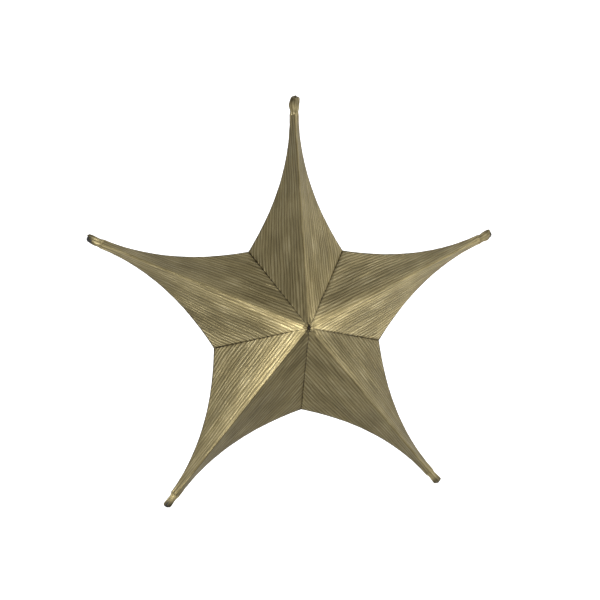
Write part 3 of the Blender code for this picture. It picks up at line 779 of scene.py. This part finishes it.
def sleeve_outline(arm, r, past, angles):
    """The sleeve's radius: the panels' own section at its start, then an oval that flares and closes."""
    neck, flare, flare_at, _, mouth = ENDS[arm][:5]
    rounder = smooth((r - NECK_AT) / (flare_at - NECK_AT))
    closing = mouth + (flare - mouth) * np.sqrt(np.clip(1 - past**2, 0, 1))
    wide = np.where(r < flare_at, neck + (flare - neck) * rounder, closing)
    deep = 0.92 * wide
    oval = 1 / np.sqrt((np.cos(angles) / wide) ** 2 + (np.sin(angles) / deep) ** 2)
    beside, over = np.abs(np.cos(angles)), np.abs(np.sin(angles))
    ridge = ridge_height(NECK_START, False)
    diamond = 1 / (beside / SECTION_HALF + over / (ridge + 0.0002))
    diamond = np.minimum(diamond, (NECK_HALF + 0.0005) / np.maximum(beside, TINY))
    blend = smooth((r - SLEEVE_START - 0.0015) / (NECK_AT - SLEEVE_START))
    return diamond + 0.0001 + (oval - diamond) * blend


def throat(first_ring, angles):
    """Rings from the rib, where the sleeve's inner end is gathered, to just before its first ring."""
    shares = smooth(np.linspace(0, 1, THROAT_ROWS, endpoint=False))[:, None, None]
    height = rib_height(THROAT_START)
    gathered = THROAT_R * (1 + 0.12 * np.sin(FOLDS * angles))
    across, up = gathered * np.cos(angles), height + gathered * np.sin(angles)
    on_rib = np.stack([THROAT_START + 0 * angles, across, up], axis=-1)
    return on_rib + (first_ring - on_rib) * shares


def sleeve_grid(arm, rows, sides, seed):
    """Points, texture and tone of the cloth gathered over an arm's end cap, in rings out to its mouth, with
    painted shade.
    """
    _, _, flare_at, tip, _, cut_back, cut_side, lean, drawn = ENDS[arm]
    angles = np.linspace(0, 2 * math.pi, sides, endpoint=False)[None]
    cut = cut_back * (0.5 + 0.5 * np.cos(angles - math.radians(cut_side))) ** 1.5
    ragged = RAGGED * noise(angles * 2.2, 0.5, seed)
    share = np.linspace(0, 1, rows + 1)[:, None]
    r = SLEEVE_START + (tip - cut + ragged - SLEEVE_START) * share
    past = np.clip((r - flare_at) / (tip - flare_at), 0, 1)
    folds = FOLD_DEEP * np.sin(FOLDS * angles + 2.5 * noise(angles * 1.3, r / 0.02, seed + 1))
    folds = folds + 0.0006 * noise(angles * 1.9, r / 0.012, seed + 2)
    radius = sleeve_outline(arm, r, past, angles) + folds * smooth((r - 0.303) / 0.008)
    shut = drawn * smooth((share - 0.92) / 0.08)
    radius = radius * (1 - shut)
    middle = rib_height(r) * smooth((r - SLEEVE_START) / 0.012)
    aside = lean * past + 0 * angles
    tucked = r - 0.0012 * shut**2
    points = np.stack([tucked, aside + radius * np.cos(angles), middle + radius * np.sin(angles)], axis=-1)
    points = np.concatenate([throat(points[:1], angles), points])
    r = np.concatenate([np.repeat(r[:1], THROAT_ROWS, axis=0), r])
    share = np.concatenate([np.zeros((THROAT_ROWS, 1)), share])
    texture = np.stack(np.broadcast_arrays(r, angles * SECTION_R), axis=-1)
    patch = 0.30 * noise(angles * 1.1, r / 0.006, seed + 3)
    # Painted shade: over random patches, the tone darkens towards the mouth
    tone_with_painted_light = 1.15 + patch - 0.62 * smooth((share - 0.35) / 0.55)
    return points, texture, tone_with_painted_light


def make_sleeves():
    """The arms' ends, where the cover is gathered over the end caps."""
    rows, sides = 44, 64
    for number, arm in enumerate(ARMS):
        points, texture, tone_with_painted_light = sleeve_grid(arm, rows, sides, SEED + 40 + number)
        world = to_world(arm, points)
        faces = grid_faces(rows + THROAT_ROWS, sides, closed=True)
        made = mesh_piece(f"arm_end_{arm}", world, faces, LAME, texture, tone_with_painted_light=tone_with_painted_light)
        thicken(made, CLOTH)
        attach(made, f"rib_{arm}")


KNOT_R = 0.0080
KNOT_HIGH = 0.0046
KNOT_DIMPLE = 0.0022
KNOT_FOLD = 0.0010
KNOT_ROWS = 26
KNOT_SIDES = 72
KNOT_BASE = ridge_height(KNOT_R, False) + CROWN_LIFT


def knot_grid():
    """Points, texture and tone of the gathered cloth in the middle of the front, with painted highlights and
    shade.
    """
    angles = np.linspace(0, 2 * math.pi, KNOT_SIDES, endpoint=False)[None]
    share = np.linspace(0, 1, KNOT_ROWS + 1)[:, None]
    radius = KNOT_R * share * (1 + 0.10 * np.sin(5 * angles + 0.4) * share)
    dome = KNOT_HIGH * (1 - share**2.2) - KNOT_DIMPLE * np.exp(-((share / 0.30) ** 2))
    turned = FOLDS * angles + 1.8 * noise(angles * 1.2, share * 2, SEED + 60)
    folds = KNOT_FOLD * np.sin(turned) * smooth(share / 0.3)
    height = KNOT_BASE + dome + folds * (1 - 0.6 * share) - 0.0012 * smooth((share - 0.8) / 0.2)
    points = np.stack([radius * np.cos(angles), radius * np.sin(angles), height + 0 * angles], axis=-1)
    texture = np.stack(np.broadcast_arrays(radius, angles * 0.006), axis=-1)
    patch = 0.45 * noise(angles * 1.6, share * 2, SEED + 61)
    # Painted highlights to either side of the knot, and painted shade below its middle
    tone_with_painted_light = 0.70 + 0.95 * np.sin(angles) ** 2 * smooth(share / 0.35) + patch
    tone_with_painted_light = np.clip(tone_with_painted_light - 0.35 * np.clip(-np.cos(angles), 0, 1) * smooth(share / 0.3), 0.25, 2)
    return points, texture, tone_with_painted_light


def make_knot():
    """The gathered middle of the front."""
    points, texture, tone_with_painted_light = knot_grid()
    faces = grid_faces(KNOT_ROWS, KNOT_SIDES, flip=True, closed=True)
    made = mesh_piece("front_knot", to_world("top", points), faces, LAME, texture, tone_with_painted_light=tone_with_painted_light)
    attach(made, "frame")
    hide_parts("front_button")
    thicken(made, CLOTH)


def make_knot_thread():
    """Three short strands of thread across the knot's dimple."""
    steps, sides = 24, 8
    t = np.linspace(-1, 1, steps)
    points, faces = [], []
    for number, turn in enumerate((0.35, 1.5, 2.6)):
        x = t * (0.0026 + 0.0003 * number)
        y = 0.0004 * np.sin(t * 3 + number)
        rise = KNOT_BASE + KNOT_HIGH - 0.0010 + 0.0010 * np.cos(t * math.pi / 2) + 0.0003 * number
        turned_x = x * math.cos(turn) - y * math.sin(turn)
        turned_y = x * math.sin(turn) + y * math.cos(turn)
        faces += capped_faces(steps - 1, sides, len(points) * steps * sides)
        points.append(tube(np.stack([turned_x, turned_y, rise], axis=1), 0.00042, sides).reshape(-1, 3))
    stitch = mesh_piece("knot_thread", to_world("top", np.concatenate(points)), faces, SEAM_THREAD)
    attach(stitch, "frame")


# Zip


def zip_point(r, aside):
    """A point beside the back ridge of the zip's arm, so far down the cloth from the ridge's shoulder."""
    gap = half_gap(ZIP_ARM, 1)
    top = ridge_height(r, True) - RIDGE_DROP
    half, low = edge_line(r, gap, True)
    slope = np.array([half - RIDGE_HALF, top - low]) / math.hypot(half - RIDGE_HALF, top - low)
    return np.array([r, RIDGE_HALF + slope[0] * aside, -(top - slope[1] * aside)])


def zip_axes():
    """The zip's start, and the directions out along it, across it and away from the star."""
    start, end = zip_point(ZIP_START, ZIP_ASIDE), zip_point(ZIP_END, ZIP_ASIDE)
    middle = (ZIP_START + ZIP_END) / 2
    along = (end - start) / np.linalg.norm(end - start)
    away = np.cross(zip_point(middle, ZIP_ASIDE) - zip_point(middle, 0), along)
    away /= np.linalg.norm(away)
    return start, along, np.cross(away, along), away, float(np.linalg.norm(end - start))


ZIP_FROM, ZIP_ALONG, ZIP_ACROSS, ZIP_AWAY, ZIP_LONG = zip_axes()
CHAIN_RISE = 0.0013  # the tape's middle stands up under the teeth
TAPE_STITCH = (0.0018, 0.0027, 0.00026)  # length, pitch and radius
TAPE_R = np.linspace(ZIP_START - TAPE_PAST, ZIP_END + TAPE_PAST, 91)
TOOTH_PITCH = 0.0011
TOOTH_WIDE = 0.0013
TOOTH_OUTLINE = (
    (-0.25, 1.0), (-0.25, 0.35), (-0.42, 0.12), (-0.38, -0.22), (-0.18, -0.34),
    (0.18, -0.34), (0.38, -0.22), (0.42, 0.12), (0.25, 0.35), (0.25, 1.0),
)
TOOTH_LEVELS = ((0.0, 0.86), (0.18, 1.0), (0.82, 1.0), (1.0, 0.86))  # share of its height and size there


def follow_tape(made, body):
    """The piece rides on a body."""
    axis, anchor, cloth_keep = squash_side(ZIP_ARM, 1, True)
    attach(made, body)
    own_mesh(made)


def tape_line(r, off, lift):
    """Points along the tape, off to one side of its middle and lifted off the cloth."""
    return np.array([zip_point(at, ZIP_ASIDE + off) + lift * ZIP_AWAY for at in r])


def make_tape(r):
    """The tape under the teeth, at these distances along its arm."""
    columns = 24
    offs = np.linspace(-TAPE_HALF, TAPE_HALF, columns + 1)
    points = np.stack([tape_line(r, off, 0.7 * TAPE_LIFT + TAPE_THICK) for off in offs], axis=1)
    rise = CHAIN_RISE * smooth((0.0060 - np.abs(offs)) / 0.0040)
    points += rise[None, :, None] * ZIP_AWAY
    points += waves(TAPE_WAVES, r[:, None], offs[None], SEED + 80)[..., None] * ZIP_AWAY
    texture = np.stack(np.broadcast_arrays(r[:, None], offs[None]), axis=-1)
    world = to_world(ZIP_ARM, points)
    made = mesh_piece("zip_tape_cloth", world, grid_faces(len(r) - 1, columns), TAPE, texture)
    thicken(made, TAPE_THICK)
    fold_with(made, ZIP_ARM, 1, True, "outer")
    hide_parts("zip_tape")


def make_tape_stitches(r):
    """A row of stitches near each edge of the tape."""
    points, faces = [], []
    for off in (-0.82 * TAPE_HALF, 0.82 * TAPE_HALF):
        line = tape_line(r, off, 0.7 * TAPE_LIFT + 0.0007)
        row, row_faces = dashes(line, *TAPE_STITCH, ZIP_AWAY)
        faces += [[i + sum(map(len, points)) for i in f] for f in row_faces]
        points.append(row)
    sewn = mesh_piece("zip_stitches", to_world(ZIP_ARM, np.concatenate(points)), faces, SEAM_THREAD)
    fold_with(sewn, ZIP_ARM, 1, True, "outer")


def tooth(at, side):
    """One tooth: a rounded head over the middle of the chain and a waist towards its own tape."""
    points = []
    for rise, size in TOOTH_LEVELS:
        for x, y in TOOTH_OUTLINE:
            wide, reach = x * size * TOOTH_WIDE, y * size * CHAIN_HALF
            points.append([at + wide, side * reach, CHAIN_LOW + rise * CHAIN_THICK])
    return np.array(points)


def make_teeth():
    """The zip's teeth, one after another from the two sides of the tape."""
    sides, levels = len(TOOTH_OUTLINE), len(TOOTH_LEVELS)
    points, faces = [], []
    for number in range(int((ZIP_LONG - 2 * CHAIN_END) / TOOTH_PITCH)):
        faces += capped_faces(levels - 1, sides, len(points) * sides * levels)
        points.append(tooth(CHAIN_END + TOOTH_PITCH * (number + 0.5), 1 if number % 2 else -1))
    placed = ZIP_FROM + np.concatenate(points) @ np.array([ZIP_ALONG, ZIP_ACROSS, ZIP_AWAY])
    made = mesh_piece("zip_teeth", to_world(ZIP_ARM, placed), faces, BRASS, smooth=False)
    make_consistent(made)
    follow_tape(made, f"back_outer_{ZIP_ARM}")
    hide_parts("zip_chain")


def make_consistent(made):
    """Turns every face of each closed shell outwards."""
    form = bmesh.new()
    form.from_mesh(made.data)
    bmesh.ops.recalc_face_normals(form, faces=form.faces)
    form.to_mesh(made.data)
    form.free()


def rounded_copy(node, name, width):
    """The node's own shape with rounded edges, as a piece that rides on the node's body."""
    source = frame["nodes"][node]
    mesh = source.data.copy()
    mesh.materials.clear()
    mesh.materials.append(BRASS)
    made = bpy.data.objects.new(name, mesh)
    bpy.context.scene.collection.objects.link(made)
    made.matrix_world = source.matrix_world.copy()
    edge = made.modifiers.new("worn_edges", "BEVEL")
    edge.width, edge.segments = width, 3
    edge.limit_method, edge.angle_limit = "ANGLE", math.radians(40)
    mesh.shade_smooth()
    follow_tape(made, node)
    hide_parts(node)


def finish_nodes():
    """Materials for the CAD parts that stay."""
    finishes = {
        "steel": STEEL, "brass": BRASS, "black_plastic": PLASTIC, "lame_cloth": LAME, "zip_tape": TAPE,
    }
    for part in RECORD["subparts"]:
        made = frame["nodes"][part["node"]]
        made.data.materials.clear()
        made.data.materials.append(finishes[part["material_slot"]])


finish_nodes()
make_panels()
make_seams()
make_hems()
make_sleeves()
make_knot()
make_knot_thread()
make_tape(TAPE_R)
make_tape_stitches(TAPE_R)
make_teeth()
rounded_copy("zip_slider", "zip_slider_body", 0.0004)
rounded_copy("zip_pull", "zip_pull_tab", 0.0003)

# Stage, light and camera


def stage():
    """A sweep of paper with its own even light, so that it shows white and casts nothing on the star."""
    mesh = bpy.data.meshes.new("backdrop")
    reach, low, before, behind, bend, high = 6.0, CENTRE.z - 1.1, -8.0, 2.2, 0.8, 7
    profile = [(before, low), (behind - bend, low)]
    profile += [
        (behind - bend + bend * math.sin(a), low + bend - bend * math.cos(a))
        for a in np.linspace(0, math.pi / 2, 12)
    ]
    profile.append((behind, low + high))
    points = [(x, y, z) for y, z in profile for x in (-reach, reach)]
    faces = [(2 * i, 2 * i + 1, 2 * i + 3, 2 * i + 2) for i in range(len(profile) - 1)]
    mesh.from_pydata(points, [], faces)
    mesh.shade_smooth()
    n = Nodes("paper")
    n.shader.inputs["Base Color"].default_value = (0.9, 0.9, 0.9, 1)
    n.shader.inputs["Roughness"].default_value = 0.9
    n.shader.inputs["Emission Color"].default_value = (1, 1, 1, 1)
    n.shader.inputs["Emission Strength"].default_value = 0.9
    mesh.materials.append(n.material)
    made = bpy.data.objects.new("backdrop", mesh)
    made.visible_glossy = False
    made.visible_diffuse = False
    bpy.context.scene.collection.objects.link(made)


def area_light(name, place, target, size, power):
    light = bpy.data.lights.new(name, "AREA")
    light.shape = "RECTANGLE"
    light.size, light.size_y = size
    light.energy = power
    made = bpy.data.objects.new(name, light)
    bpy.context.scene.collection.objects.link(made)
    made.location = CENTRE + Vector(place)
    made.rotation_euler = (Vector(target) - Vector(place)).to_track_quat("-Z", "Y").to_euler()


def lights():
    """An even white surround, with softboxes to the front left and around the right."""
    world = bpy.data.worlds.new("studio")
    bpy.context.scene.world = world
    world.use_nodes = True
    world.node_tree.nodes["Background"].inputs["Color"].default_value = (1, 1, 1, 1)
    world.node_tree.nodes["Background"].inputs["Strength"].default_value = 0.55
    area_light("front_left", (-1.56, -2.05, -0.26), (0, 0, 0), (1.0, 1.0), 20)
    area_light("upper_right", (1.69, -0.26, 1.95), (0, 0, 0), (1.1, 1.1), 14)
    area_light("lower_right", (2.39, -0.26, -0.99), (0, 0, 0), (1.1, 1.1), 13)
    area_light("right", (2.50, -0.5, 0.52), (0, 0, 0), (1.1, 1.1), 4)
    area_light("lower_left", (-1.33, -0.52, -2.18), (0, 0, 0), (1.1, 1.1), 3)


CAMERA_TURN = math.radians(-10.4)
CAMERA_RISE = math.radians(3.9)
CAMERA_ROLL = math.radians(0.7)
CAMERA_REACH = 1.739
LENS = 71.5
SENSOR = 36.0
AIM_RIGHT, AIM_UP = 0.0052, 0.0341


def camera():
    """The picture's viewpoint: a little to the left of the star and above its middle."""
    data = bpy.data.cameras.new("camera")
    data.lens, data.sensor_width = LENS, SENSOR
    made = bpy.data.objects.new("camera", data)
    bpy.context.scene.collection.objects.link(made)
    towards = Vector((
        math.sin(CAMERA_TURN) * math.cos(CAMERA_RISE),
        -math.cos(CAMERA_TURN) * math.cos(CAMERA_RISE),
        math.sin(CAMERA_RISE),
    ))
    right = Vector((0, 0, 1)).cross(towards).normalized()
    up = towards.cross(right)
    place = CENTRE + towards * CAMERA_REACH
    aim = CENTRE + right * AIM_RIGHT + up * AIM_UP
    turn = (aim - place).to_track_quat("-Z", "Y").to_matrix() @ Matrix.Rotation(-CAMERA_ROLL, 3, "Z")
    made.location = place
    made.rotation_euler = turn.to_euler()
    data.clip_start = 0.01
    bpy.context.scene.camera = made


bpy.context.scene.view_settings.view_transform = "Standard"
stage()
lights()
camera()
